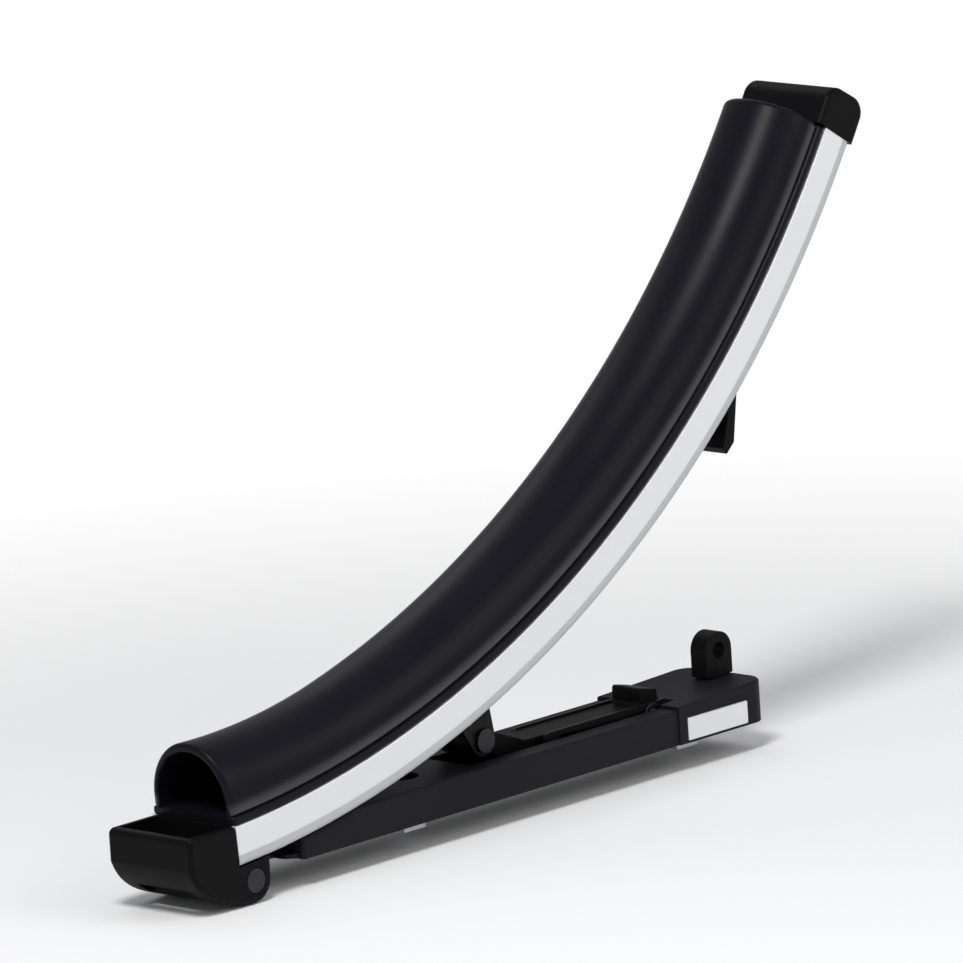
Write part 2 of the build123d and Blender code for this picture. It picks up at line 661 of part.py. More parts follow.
# Pad: a foot that slides into the arm's slot, under a hollow dome that stands up to a lip at its lower end
DOME_HALF = PAD_HALF - PAD_BEAD_STEP
DOME_LOW = PAD_BEAD - ARM_FRONT_R
SHOULDER = PAD_SHOULDER - ARM_FRONT_R
BEAD_LOW = DOME_LOW - PAD_BEAD_STEP
FLANGE_LOW = SIDE_GAP - ARM_FRONT_R
TONGUE_HALF = PAD_SLOT_HALF - SEAT_GAP
TONGUE_LOW = SEAT_GAP - PAD_SLOT_DEPTH - ARM_FRONT_R
HOLLOW_HALF = PAD_HALF - PAD_SIDE_WALL
HOLLOW_LOW = PAD_FLOOR - ARM_FRONT_R
HOLLOW_START = ARM_SLOPE - turn_of(PAD_FLOOR)
HOLLOW_SWEEP = ARM_TIP - turn_of(PAD_END_WALL) - HOLLOW_START
SHARES = [k / (PAD_STATIONS - 1) for k in range(PAD_STATIONS)]
with BuildPart() as arm_pad:
    for share in SHARES:
        angle = ARM_SLOPE + ARM_SWEEP * share
        with BuildSketch(section_plane(angle)):
            with BuildLine():
                Polyline(
                    (-DOME_HALF, SHOULDER),
                    (-DOME_HALF, DOME_LOW),
                    (-PAD_HALF, BEAD_LOW),
                    (-PAD_HALF, FLANGE_LOW),
                    (-TONGUE_HALF, FLANGE_LOW),
                    (-TONGUE_HALF, TONGUE_LOW),
                    (TONGUE_HALF, TONGUE_LOW),
                    (TONGUE_HALF, FLANGE_LOW),
                    (PAD_HALF, FLANGE_LOW),
                    (PAD_HALF, BEAD_LOW),
                    (DOME_HALF, DOME_LOW),
                    (DOME_HALF, SHOULDER),
                )
                EllipticalCenterArc(
                    (0, SHOULDER),
                    DOME_HALF,
                    pad_height(angle) - PAD_SHOULDER,
                    start_angle=0,
                    arc_size=180,
                )
            make_face()
    loft()
    for share in SHARES:
        angle = HOLLOW_START + HOLLOW_SWEEP * share
        with BuildSketch(section_plane(angle)):
            with BuildLine():
                Polyline(
                    (HOLLOW_HALF, SHOULDER),
                    (HOLLOW_HALF, HOLLOW_LOW),
                    (-HOLLOW_HALF, HOLLOW_LOW),
                    (-HOLLOW_HALF, SHOULDER),
                )
                EllipticalCenterArc(
                    (0, SHOULDER),
                    HOLLOW_HALF,
                    pad_height(angle) - PAD_ROOF - PAD_SHOULDER,
                    start_angle=0,
                    arc_size=180,
                )
            make_face()
    loft(mode=Mode.SUBTRACT)
arm_pad.part.label = "arm_pad"
export_step(arm_pad.part, "parts/arm_pad.step")

# Tip cap: a rounded hollow box on the arm's end, turned down over the back, with two plugs
CAP_START = ARM_TIP + turn_of(SEAT_GAP)
CAP_STOP = CAP_START + turn_of(CAP_LENGTH)
CAP_HEAD_AT = CAP_LENGTH - END_SCREW_HEAD_T - SIDE_GAP
with BuildPart() as tip_cap:
    with BuildSketch(section_plane(CAP_START)):
        with Locations((0, -(ARM_BACK_R + CAP_BACK))):
            Rectangle(
                2 * (ARM_HALF + CAP_SIDE),
                ARM_T + CAP_BACK + CAP_FRONT,
                align=(Align.CENTER, Align.MIN),
            )
    revolve(axis=ARM_AXIS, revolution_arc=CAP_STOP - CAP_START)
    cap_end = section_plane(CAP_STOP)
    end_edges = [
        e for e in tip_cap.edges().filter_by(Axis.Y) if abs(cap_end.to_local_coords(e.center()).Z) < 0.1
    ]
    fillet(end_edges, CAP_ROUND)
    cap_start = section_plane(CAP_START)
    side_edges = [
        e
        for e in tip_cap.edges()
        if abs(abs(e.center().Y) - ARM_HALF - CAP_SIDE) < 0.01
        and cap_start.to_local_coords(e.center()).Z > 1
    ]
    fillet(side_edges, CAP_CORNER)
    with BuildSketch(section_plane(CAP_START - turn_of(CAP_LIP_LENGTH))):
        with Locations((0, -(ARM_BACK_R + CAP_BACK))):
            Rectangle(2 * CAP_LIP_HALF, CAP_BACK - SEAT_GAP, align=(Align.CENTER, Align.MIN))
    revolve(axis=ARM_AXIS, revolution_arc=turn_of(CAP_LIP_LENGTH + CAP_WALL))
    with BuildSketch(section_plane(CAP_START)):
        with Locations((0, -ARM_BACK_R)):
            Rectangle(
                2 * (ARM_HALF - CAP_WALL),
                ARM_T + CAP_FRONT - CAP_WALL,
                align=(Align.CENTER, Align.MIN),
            )
    revolve(axis=ARM_AXIS, revolution_arc=turn_of(CAP_LENGTH - CAP_END), mode=Mode.SUBTRACT)
    with Locations(*[along_place(PORT_AT_R, CAP_START, j * WEB_Y) for j in SIDES]):
        Cylinder(PORT_R + PORT_WALL, CAP_LENGTH - 1, align=BASE)
    with BuildSketch(section_plane(CAP_START)):
        for j in SIDES:
            with Locations((j * (WEB_Y + ARM_HALF - ARM_WALL + PORT_R + PORT_WALL) / 2, -PORT_AT_R)):
                Rectangle(
                    ARM_HALF - ARM_WALL - WEB_Y - PORT_R - PORT_WALL - 2 * PLUG_GAP,
                    CELL_BACK_R - CELL_TOP_R - 2 * PLUG_GAP,
                )
    extrude(amount=-PLUG_LENGTH)
    with BuildSketch(section_plane(CAP_START)):
        for j in SIDES:
            with Locations((j * (WEB_Y + ARM_HALF - ARM_WALL + PORT_R + PORT_WALL) / 2, -PORT_AT_R)):
                Rectangle(
                    ARM_HALF - ARM_WALL - WEB_Y - PORT_R - PORT_WALL - 2 * PLUG_GAP,
                    CELL_BACK_R - CELL_TOP_R - 2 * PLUG_GAP,
                )
    extrude(amount=CAP_LENGTH - 1)
    with Locations(*[along_place(PORT_AT_R, CAP_START, j * WEB_Y) for j in SIDES]):
        Cylinder(END_SCREW_R + SCREW_GAP, CAP_LENGTH + 5, align=BASE, mode=Mode.SUBTRACT)
        with Locations((0, 0, CAP_HEAD_AT)):
            Cylinder(END_SCREW_HEAD_R + SCREW_GAP, CAP_END, align=BASE, mode=Mode.SUBTRACT)
tip_cap.part.label = "tip_cap"
export_step(tip_cap.part, "parts/tip_cap.step")

with BuildPart() as tip_screws:
    with Locations(*[along_place(PORT_AT_R, CAP_START, j * WEB_Y) for j in SIDES]):
        with Locations((0, 0, CAP_HEAD_AT)):
            Cylinder(END_SCREW_HEAD_R, END_SCREW_HEAD_T, align=BASE)
            Cylinder(END_SCREW_R, CAP_HEAD_AT + END_SCREW_BITE, align=TOP)
tip_screws.part.label = "tip_screws"
export_step(tip_screws.part, "parts/tip_screws.step")

# Foot: a boat-shaped scoop on the lower end, with cheeks that carry the hinge pin
FOOT_STOP = ARM_SLOPE - turn_of(SEAT_GAP)
NOSE_X = ARM_END_X - FOOT_REACH
CHEEK_END_X = HINGE_X + CHEEK_R
with BuildPart() as foot_block:
    with BuildSketch(Plane.XZ):
        with BuildLine():
            Polyline(
                (NOSE_X, NOSE_LOW),
                (NOSE_X, FOOT_TOP),
                (CHEEK_END_X, FOOT_TOP),
                (CHEEK_END_X, HINGE_Z),
            )
            CenterArc((HINGE_X, HINGE_Z), CHEEK_R, 0, -90)
            Spline(
                (HINGE_X, HINGE_Z - CHEEK_R),
                (ARM_END_X + BELLY_X, BELLY_Z),
                (NOSE_X, NOSE_LOW),
                tangents=((-1, 0), (-0.35, 1)),
            )
        make_face()
    extrude(amount=FOOT_HALF, both=True)
    fillet(foot_block.edges().filter_by(Axis.Y).group_by(Axis.X)[0], NOSE_ROUND)
    hull_edges = [
        e
        for e in foot_block.edges()
        if abs(abs(e.center().Y) - FOOT_HALF) < 0.01 and e.center().X < HINGE_X
        and e.center().Z < FOOT_TOP - 0.01
    ]
    fillet(hull_edges, FOOT_ROUND)
    with BuildSketch(section_plane(FOOT_STOP)):
        with Locations((0, -(ARM_BACK_R + SEAT_GAP))):
            Rectangle(2 * FOOT_HALF + 2, 2 * ARM_T, align=(Align.CENTER, Align.MIN))
    revolve(axis=ARM_AXIS, revolution_arc=ARM_SWEEP / 4, mode=Mode.SUBTRACT)
    with BuildSketch(Plane.XY.offset(CUP_FLOOR)):
        with Locations((NOSE_X + CUP_WALL, 0)):
            Rectangle(
                FOOT_REACH - CUP_WALL - CUP_END,
                2 * (FOOT_HALF - CUP_WALL),
                align=(Align.MIN, Align.CENTER),
            )
    extrude(amount=FOOT_TOP - CUP_FLOOR + 1, mode=Mode.SUBTRACT)
    with BuildSketch(Plane.XY.offset(CUP_FLOOR + 1)):
        with Locations((NOSE_X + STRAP_SLOT_FROM_NOSE, 0)):
            Rectangle(
                STRAP_SLOT_LENGTH,
                2 * STRAP_SLOT_HALF,
                align=(Align.MIN, Align.CENTER),
            )
    extrude(amount=-4 * CUP_FLOOR, mode=Mode.SUBTRACT)
    with BuildSketch(Plane.XZ):
        with Locations((HINGE_X - BUSH_FLANGE_R - SIDE_GAP, HINGE_Z - 2 * CHEEK_R)):
            Rectangle(4 * CHEEK_R, 4 * CHEEK_R, align=(Align.MIN, Align.MIN))
    extrude(amount=CHEEK_IN, both=True, mode=Mode.SUBTRACT)
    with BuildSketch(Plane.XZ):
        with Locations((HINGE_X, HINGE_Z)):
            Circle(BUSH_R + PIN_GAP)
    extrude(amount=FOOT_HALF + 1, both=True, mode=Mode.SUBTRACT)
    for j in SIDES:
        with BuildSketch(Plane.XZ.offset(j * (FOOT_HALF + 1))):
            with Locations((HINGE_X, HINGE_Z)):
                Circle(PIN_HEAD_R + SIDE_GAP)
        extrude(amount=-j * (PIN_HEAD_T + SIDE_GAP + 1), mode=Mode.SUBTRACT)
    with BuildSketch(section_plane(FOOT_STOP)):
        for j in SIDES:
            with Locations((j * (WEB_Y + ARM_HALF - ARM_WALL + PORT_R + PORT_WALL) / 2, -PORT_AT_R)):
                Rectangle(
                    ARM_HALF - ARM_WALL - WEB_Y - PORT_R - PORT_WALL - 2 * PLUG_GAP,
                    CELL_BACK_R - CELL_TOP_R - 2 * PLUG_GAP,
                )
    extrude(amount=PLUG_LENGTH)
    with Locations(*[along_place(PORT_AT_R, FOOT_STOP, j * WEB_Y) for j in SIDES]):
        Cylinder(END_SCREW_R + SCREW_GAP, 4 * CUP_END, mode=Mode.SUBTRACT)
foot_block.part.label = "foot_block"
export_step(foot_block.part, "parts/foot_block.step")

CUP_FACE_X = NOSE_X + FOOT_REACH - CUP_END
WALL_THICK = (polar(PORT_AT_R, FOOT_STOP)[0] - CUP_FACE_X) / cos(radians(FOOT_STOP))
HEAD_BACK = WALL_THICK + END_SCREW_HEAD_R * sin(radians(FOOT_STOP))
with BuildPart() as foot_screws:
    with Locations(*[along_place(PORT_AT_R, FOOT_STOP, j * WEB_Y) for j in SIDES]):
        with Locations((0, 0, -HEAD_BACK)):
            Cylinder(END_SCREW_HEAD_R, END_SCREW_HEAD_T, align=TOP)
            Cylinder(END_SCREW_R, CUP_END + END_SCREW_BITE, align=BASE)
foot_screws.part.label = "foot_screws"
export_step(foot_screws.part, "parts/foot_screws.step")

# Flanged bushes in the cheeks
BUSH_LENGTH = FOOT_HALF - PIN_HEAD_T - SIDE_GAP - CHEEK_IN
with BuildPart() as hinge_bushes:
    for j in SIDES:
        with BuildSketch(Plane.XZ.offset(j * (CHEEK_IN - BUSH_FLANGE_T))):
            with Locations((HINGE_X, HINGE_Z)):
                Circle(BUSH_FLANGE_R)
        extrude(amount=j * BUSH_FLANGE_T)
        with BuildSketch(Plane.XZ.offset(j * CHEEK_IN)):
            with Locations((HINGE_X, HINGE_Z)):
                Circle(BUSH_R)
        extrude(amount=j * BUSH_LENGTH)
    with BuildSketch(Plane.XZ):
        with Locations((HINGE_X, HINGE_Z)):
            Circle(HINGE_PIN_R + PIN_GAP)
    extrude(amount=FOOT_HALF, both=True, mode=Mode.SUBTRACT)
hinge_bushes.part.label = "hinge_bushes"
export_step(hinge_bushes.part, "parts/hinge_bushes.step")

# Strap hook: a wedge on the arm's back, open towards the foot
HOOK_TOP = HOOK_AT + HOOK_SPAN / 2
HOOK_LOW = HOOK_AT - HOOK_SPAN / 2
with BuildPart() as strap_hook:
    with BuildSketch(Plane.XZ):
        with BuildLine():
            Polyline(
                polar(ARM_BACK_R - 1, HOOK_TOP),
                polar(ARM_BACK_R + 0.8, HOOK_TOP),
                polar(ARM_BACK_R + HOOK_H, HOOK_LOW + 0.25 * HOOK_SPAN),
                polar(ARM_BACK_R + HOOK_H, HOOK_LOW),
                polar(ARM_BACK_R + HOOK_H - HOOK_LIP, HOOK_LOW),
                polar(ARM_BACK_R + HOOK_SEAT + 1.5, HOOK_AT),
                polar(ARM_BACK_R + HOOK_SEAT, HOOK_AT),
                polar(ARM_BACK_R + HOOK_SEAT, HOOK_LOW),
                polar(ARM_BACK_R - 1, HOOK_LOW),
                close=True,
            )
        make_face()
        with Locations((ARC_X, ARC_Z)):
            Circle(ARM_BACK_R + SEAT_GAP, mode=Mode.SUBTRACT)
    extrude(amount=HOOK_HALF, both=True)
    with Locations(*[radial_place(ARM_BACK_R, HOOK_SCREW_ANGLE, j * HOOK_SCREW_Y) for j in SIDES]):
        Cylinder(HOOK_SCREW_R + SCREW_GAP, 2 * HOOK_H, mode=Mode.SUBTRACT)
        with Locations((0, 0, HOOK_SCREW_UNDER)):
            Cylinder(HOOK_SCREW_HEAD_R + SCREW_GAP, HOOK_H, align=BASE, mode=Mode.SUBTRACT)
strap_hook.part.label = "strap_hook"
export_step(strap_hook.part, "parts/strap_hook.step")

with BuildPart() as hook_screws:
    with Locations(*[radial_place(ARM_BACK_R, HOOK_SCREW_ANGLE, j * HOOK_SCREW_Y) for j in SIDES]):
        with Locations((0, 0, HOOK_SCREW_UNDER)):
            Cylinder(HOOK_SCREW_HEAD_R, HOOK_SCREW_HEAD_T, align=BASE)
            Cylinder(HOOK_SCREW_R, HOOK_SCREW_UNDER + ARM_WALL + 4, align=TOP)
hook_screws.part.label = "hook_screws"
export_step(hook_screws.part, "parts/hook_screws.step")

# Bracket: a flange curved like the arm's back, with two ears for the strut's pivot
EAR_ROOT_R = ARM_BACK_R + SEAT_GAP + BRACKET_T / 2
EAR_ROOTS = [polar(EAR_ROOT_R, PIVOT_ANGLE + k * BRACKET_SPAN / 3) for k in SIDES]
with BuildPart() as strut_bracket:
    with BuildSketch(section_plane(PIVOT_ANGLE - BRACKET_SPAN / 2)):
        with Locations((0, -(ARM_BACK_R + SEAT_GAP))):
            Rectangle(2 * BRACKET_HALF, BRACKET_T, align=(Align.CENTER, Align.MAX))
    revolve(axis=ARM_AXIS, revolution_arc=BRACKET_SPAN)
    for start in (EAR_IN, -EAR_IN - BRACKET_T):
        with BuildSketch(Plane.XZ.offset(start)):
            with Locations((PIVOT_X, PIVOT_Z)):
                Circle(EAR_R)
            with Locations(*EAR_ROOTS):
                Circle(BRACKET_T / 4)
            make_hull()
        extrude(amount=BRACKET_T)
    with BuildSketch(Plane.XZ):
        with Locations((PIVOT_X, PIVOT_Z)):
            Circle(PIVOT_PIN_R + PIN_GAP)
    extrude(amount=BRACKET_HALF, both=True, mode=Mode.SUBTRACT)
    with Locations(*[radial_place(ARM_BACK_R, a, y) for a, y in RIVET_PLACES]):
        Cylinder(RIVET_R + SCREW_GAP, 4 * BRACKET_T, mode=Mode.SUBTRACT)
strut_bracket.part.label = "strut_bracket"
export_step(strut_bracket.part, "parts/strut_bracket.step")

with BuildPart() as bracket_rivets:
    with Locations(*[radial_place(ARM_BACK_R + SEAT_GAP + BRACKET_T, a, y) for a, y in RIVET_PLACES]):
        Cylinder(RIVET_HEAD_R, RIVET_HEAD_T, align=BASE)
        Cylinder(RIVET_R, BRACKET_T + SEAT_GAP + ARM_WALL + RIVET_HEAD_T, align=TOP)
        with Locations((0, 0, -BRACKET_T - SEAT_GAP - ARM_WALL - SCREW_GAP)):
            Cylinder(RIVET_HEAD_R - 0.6, RIVET_HEAD_T - SCREW_GAP, align=TOP)
bracket_rivets.part.label = "bracket_rivets"
export_step(bracket_rivets.part, "parts/bracket_rivets.step")

# Pivot pin through the ears and the strut's eye
EAR_OUT = EAR_IN + BRACKET_T
with BuildPart() as pivot_pin:
    with BuildSketch(Plane.XZ.offset(EAR_OUT)):
        with Locations((PIVOT_X, PIVOT_Z)):
            Circle(PIN_HEAD_R)
    extrude(amount=PIN_HEAD_T)
    with BuildSketch(Plane.XZ.offset(EAR_OUT)):
        with Locations((PIVOT_X, PIVOT_Z)):
            Circle(PIVOT_PIN_R)
    extrude(amount=-2 * EAR_OUT - 2 * CLIP_T)
pivot_pin.part.label = "pivot_pin"
export_step(pivot_pin.part, "parts/pivot_pin.step")

with BuildPart() as pivot_clip:
    with BuildSketch(Plane.XZ.offset(-EAR_OUT)):
        with Locations((PIVOT_X, PIVOT_Z)):
            Circle(PIN_HEAD_R)
            Circle(PIVOT_PIN_R + PIN_GAP, mode=Mode.SUBTRACT)
    extrude(amount=-CLIP_T)
pivot_clip.part.label = "pivot_clip"
export_step(pivot_clip.part, "parts/pivot_clip.step")

# Strut: a lever cranked down into the rail, with an eye for the pivot and a thumb tab over the sliding pin
BEND = (PIVOT_X + STRUT_BEND_FROM_PIVOT, SLIDE_Z + STRUT_BEND_RISE)
PIN = (SLIDE_X, SLIDE_Z)
POCKET_FROM = 0.1
POCKET_TO = 0.84
POCKET_ENDS = [
    (BEND[0] + k * (PIN[0] - BEND[0]), BEND[1] + k * (PIN[1] - BEND[1])) for k in (POCKET_FROM, POCKET_TO)
]
with BuildPart() as strut:
    for start, stop in (((PIVOT_X, PIVOT_Z), BEND), (BEND, PIN)):
        with BuildSketch(Plane.XZ):
            with Locations(start, stop):
                Circle(STRUT_BODY_R)
            make_hull()
        extrude(amount=STRUT_HALF, both=True)
    with BuildSketch(Plane.XZ):
        with Locations((PIVOT_X, PIVOT_Z)):
            Circle(EYE_R)
        with Locations(PIN):
            Circle(BOSS_R)
    extrude(amount=STRUT_HALF, both=True)
    with BuildSketch(Plane.XZ) as tab:
        with BuildLine():
            Polyline(
                (SLIDE_X - TAB_BEFORE_PIN, SLIDE_Z),
                (SLIDE_X - TAB_BEFORE_PIN, SLIDE_Z + TAB_ABOVE_PIN),
                (SLIDE_X + TAB_PAST_PIN, SLIDE_Z + TAB_ABOVE_PIN - TAB_FALL),
                (SLIDE_X + TAB_PAST_PIN, SLIDE_Z),
                close=True,
            )
        make_face()
        fillet(tab.vertices().group_by(Axis.Y)[-1] + tab.vertices().group_by(Axis.Y)[-2], TAB_ROUND)
    extrude(amount=STRUT_HALF, both=True)
    with BuildSketch(Plane.XZ):
        with Locations(*POCKET_ENDS):
            Circle(STRUT_BODY_R - STRUT_RIM)
        make_hull()
    extrude(amount=STRUT_HALF + 1, both=True, mode=Mode.SUBTRACT)
    with BuildSketch(Plane.XZ):
        with Locations(*POCKET_ENDS):
            Circle(STRUT_BODY_R - STRUT_RIM / 2)
        make_hull()
    extrude(amount=STRUT_WEB / 2, both=True)
    with BuildSketch(Plane.XZ):
        with Locations((PIVOT_X, PIVOT_Z)):
            Circle(PIVOT_PIN_R + PIN_GAP)
        with Locations(PIN):
            Circle(SLIDE_PIN_R + PIN_GAP)
    extrude(amount=STRUT_HALF + 1, both=True, mode=Mode.SUBTRACT)
strut.part.label = "strut"
export_step(strut.part, "parts/strut.step")

with BuildPart() as slide_pin:
    with BuildSketch(Plane.XZ):
        with Locations((SLIDE_X, SLIDE_Z)):
            Circle(SLIDE_PIN_R)
    extrude(amount=SLIDE_PIN_HALF, both=True)
    chamfer(slide_pin.edges(), 0.6)
slide_pin.part.label = "slide_pin"
export_step(slide_pin.part, "parts/slide_pin.step")

with BuildPart() as slide_clips:
    for j in SIDES:
        with BuildSketch(Plane.XZ.offset(j * (RAIL_HALF + SIDE_GAP))):
            with Locations((SLIDE_X, SLIDE_Z)):
                Circle(PIN_HEAD_R)
                Circle(SLIDE_PIN_R + PIN_GAP, mode=Mode.SUBTRACT)
        extrude(amount=j * CLIP_T)
slide_clips.part.label = "slide_clips"
export_step(slide_clips.part, "parts/slide_clips.step")
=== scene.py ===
# %% [markdown]
# # A kayak carrier, dressed for its portrait
# The carrier is a curved, padded arm that tilts on a slim base and is propped by a strut. Its solids
# are already right in size and place, so this script only gives them finishes, softens their edges,
# rebuilds the soft pad, adds small details, and sets up a floor, lights and a camera.
# We could model everything again in Blender, but then the sizes would drift. Loading the solids as a
# fixed frame keeps every piece where the maker put it.

# %% Load the frame
import json
from math import cos, pi, radians, sin

import bmesh
import bpy
from mathutils import Matrix, Vector


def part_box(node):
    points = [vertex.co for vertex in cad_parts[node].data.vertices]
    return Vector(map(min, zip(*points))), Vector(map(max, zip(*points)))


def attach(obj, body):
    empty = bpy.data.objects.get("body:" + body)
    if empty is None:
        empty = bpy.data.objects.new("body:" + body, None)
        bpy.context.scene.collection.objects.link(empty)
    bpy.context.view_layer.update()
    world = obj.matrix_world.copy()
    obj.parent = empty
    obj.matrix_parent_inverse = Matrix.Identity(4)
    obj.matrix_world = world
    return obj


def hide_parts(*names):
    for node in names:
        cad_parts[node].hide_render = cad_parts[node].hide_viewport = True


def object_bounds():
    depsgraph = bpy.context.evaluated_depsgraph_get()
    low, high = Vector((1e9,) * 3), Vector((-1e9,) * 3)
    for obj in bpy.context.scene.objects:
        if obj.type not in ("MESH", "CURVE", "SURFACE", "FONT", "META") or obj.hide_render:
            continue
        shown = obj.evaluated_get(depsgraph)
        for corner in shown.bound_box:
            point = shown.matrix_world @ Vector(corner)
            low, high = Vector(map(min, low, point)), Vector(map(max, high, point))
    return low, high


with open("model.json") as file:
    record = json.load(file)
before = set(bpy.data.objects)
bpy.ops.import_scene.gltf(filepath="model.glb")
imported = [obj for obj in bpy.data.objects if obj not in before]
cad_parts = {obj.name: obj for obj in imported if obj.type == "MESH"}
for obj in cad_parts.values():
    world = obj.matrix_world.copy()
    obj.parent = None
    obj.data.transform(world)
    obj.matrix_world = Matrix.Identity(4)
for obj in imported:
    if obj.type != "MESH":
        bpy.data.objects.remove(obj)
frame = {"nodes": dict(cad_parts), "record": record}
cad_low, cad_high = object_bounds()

MM = 0.001

print("size in mm:", [round(v / MM) for v in cad_high - cad_low])

# %% [markdown]
# ## Shader maths as plain sums
# A finish is a small calculation: take a noise, stretch it, scale it, add it to a base value. Wiring
# that by hand needs many Math nodes. One class that stands for a socket, and knows plus, minus, times
# and power, lets us write the sum itself and adds the Math nodes behind the scenes.
# Every other node comes from one method, `node`, which takes the type, its settings and its inputs.
# The arm is bent round one centre, so a finish can also ask how far a point is from there.


# %% A socket that can be added and multiplied
class Wire:
    """One output socket of a finish, which takes part in sums."""

    def __init__(self, finish, socket):
        self.finish = finish
        self.socket = socket

    def sum(self, operation, first, second):
        """A Math node on two wires or numbers."""
        return self.finish.node("ShaderNodeMath", {"operation": operation}, {0: first, 1: second})

    def __add__(self, other):
        return self.sum("ADD", self, other)

    def __radd__(self, other):
        return self.sum("ADD", other, self)

    def __sub__(self, other):
        return self.sum("SUBTRACT", self, other)

    def __rsub__(self, other):
        return self.sum("SUBTRACT", other, self)

    def __mul__(self, other):
        return self.sum("MULTIPLY", self, other)

    def __rmul__(self, other):
        return self.sum("MULTIPLY", other, self)

    def __pow__(self, other):
        return self.sum("POWER", self, other)


def distance(first, second):
    """The straight distance over two legs at right angles."""
    return (first * first + second * second) ** 0.5


print("Wire knows:", [name.strip("_") for name in vars(Wire) if callable(getattr(Wire, name))])

# %% A finish: one material and its nodes
CURVE_X, CURVE_Z = -0.326192, 0.703468  # the centre that the arm is bent round, in metres
MIX_A, MIX_B, MIX_RESULT = 6, 7, 2  # a Mix node's colour sockets, whose names others share


class Finish:
    """A material with a Principled shader, whose constants are set straight on its sockets."""

    def __init__(self, name, **constants):
        self.material = bpy.data.materials.new(name)
        self.material.use_nodes = True
        self.tree = self.material.node_tree
        self.shader = self.tree.nodes["Principled BSDF"]
        for socket, value in constants.items():
            self.shader.inputs[socket.replace("_", " ")].default_value = value

    def node(self, kind, settings=None, inputs=None, output=0):
        """Adds a node of any type: its settings first, then the values or wires of its sockets."""
        made = self.tree.nodes.new(kind)
        for name, value in (settings or {}).items():
            setattr(made, name, value)
        for name, value in (inputs or {}).items():
            if isinstance(value, Wire):
                self.tree.links.new(value.socket, made.inputs[name])
            else:
                made.inputs[name].default_value = value
        return Wire(self, made.outputs[output])

    def feed(self, socket, wire):
        """Links a wire to a socket of the shader."""
        self.tree.links.new(wire.socket, self.shader.inputs[socket])

    def place(self):
        """The point on the object, in metres, in the part's own frame."""
        return self.node("ShaderNodeTexCoord", output="Object")

    def axis(self, letter):
        """One coordinate of that point."""
        return self.node("ShaderNodeSeparateXYZ", inputs={0: self.place()}, output=letter)

    def radius(self):
        """The point's distance from the centre of the arm's curve, in metres."""
        return distance(self.axis("X") - CURVE_X, self.axis("Z") - CURVE_Z)

    def turn(self):
        """The point's angle on the arm's curve, counted from straight below its centre."""
        legs = {0: self.axis("X") - CURVE_X, 1: CURVE_Z - self.axis("Z")}
        return self.node("ShaderNodeMath", {"operation": "ARCTAN2"}, legs)

    def noise(self, scale, detail=2.0, at=None, roughness=0.5):
        """A soft cloud from 0 to 1, with that many lumps to the metre."""
        inputs = {
            "Vector": at or self.place(),
            "Scale": scale,
            "Detail": detail,
            "Roughness": roughness,
        }
        return self.node("ShaderNodeTexNoise", inputs=inputs)

    def step(self, value, low, high):
        """Goes smoothly from 0 to 1 as a value goes from low to high."""
        settings = {"interpolation_type": "SMOOTHSTEP"}
        limits = {"Value": value, "From Min": low, "From Max": high}
        return self.node("ShaderNodeMapRange", settings, limits)

    def blend(self, share, first, second):
        """A colour between two colours, each of them a wire or red, green and blue."""
        near, far = (colour if isinstance(colour, Wire) else (*colour, 1) for colour in (first, second))
        inputs = {"Factor": share, MIX_A: near, MIX_B: far}
        return self.node("ShaderNodeMix", {"data_type": "RGBA"}, inputs, output=MIX_RESULT)

    def relief(self, height, depth, strength):
        """Turns a height from 0 to 1 into a bumpy normal, with that depth in metres."""
        inputs = {"Height": height, "Distance": depth, "Strength": strength}
        self.feed("Normal", self.node("ShaderNodeBump", inputs=inputs))


print("Finish makes:", [name for name in vars(Finish) if not name.startswith("_")])

# %% [markdown]
# ## Bright aluminium for the arm
# The arm is an aluminium extrusion, bent to one long curve, with a pale satin anodised finish.
# Extruding leaves faint lines along the length. A plain stretched noise would run straight and cross
# the curve, so we work out each point's distance from the curve's centre and let the lines depend on
# that and on the width, which makes them follow the bend.
# The same distance also tells where the rolled back edge begins. That edge gets a rougher surface, and
# its colour is greyed with painted shade for the edge turning away from the light, which shows as a
# grey line under the band.

# %% Anodised aluminium
ARM_FRONT_R, ARM_BACK_R = 0.6735, 0.697
ROLLED_FROM, ROLLED_TO = ARM_BACK_R - 0.0078, ARM_BACK_R - 0.0062
LINES_ACROSS, LINES_ALONG = 900, 3  # lumps to the metre, and to the radian

aluminium = Finish("anodised_aluminium", Metallic=0.5)
radius = aluminium.radius()
width = aluminium.axis("Y")
turn = aluminium.turn()
stretch = {0: radius * LINES_ACROSS, 1: width * LINES_ACROSS, 2: turn * LINES_ALONG}
die = aluminium.node("ShaderNodeCombineXYZ", inputs=stretch)
lines = aluminium.noise(1.0, detail=3.0, at=die)
cloud = aluminium.noise(18.0, detail=3.0)
grit = aluminium.noise(5200.0, detail=1.0)
# Painted shade: the grey mixed into the rolled back edge's colour stands in for shade; only its extra
# roughness is real.
rolled_edge_shade_and_dullness = aluminium.step(radius, ROLLED_FROM, ROLLED_TO)
polished = aluminium.blend(cloud, (0.80, 0.805, 0.815), (0.86, 0.86, 0.87))
aluminium.feed("Base Color", aluminium.blend(rolled_edge_shade_and_dullness * 0.8, polished, (0.47, 0.48, 0.50)))
aluminium.feed("Roughness", 0.30 + 0.12 * lines + 0.08 * cloud + 0.12 * rolled_edge_shade_and_dullness)
aluminium.relief(lines * 0.8 + grit * 0.2, depth=0.00003, strength=0.35)
print("aluminium nodes:", len(aluminium.tree.nodes))

# %% [markdown]
# ## Black rubber
# The pad is a dark, slightly blue-black rubber with a soft sheen, and the strips under the base are a
# matt rubber. Rubber is never one even black: it has a fine skin, a little bloom that greys it in
# patches, and a gloss that changes where it has been rubbed. Noises at different scales give that
# without any picture. Along the pad's lower edges, just above its beads, the extruder's die leaves a
# smoother strip that shines, so the pad gets a coat there and nowhere else.


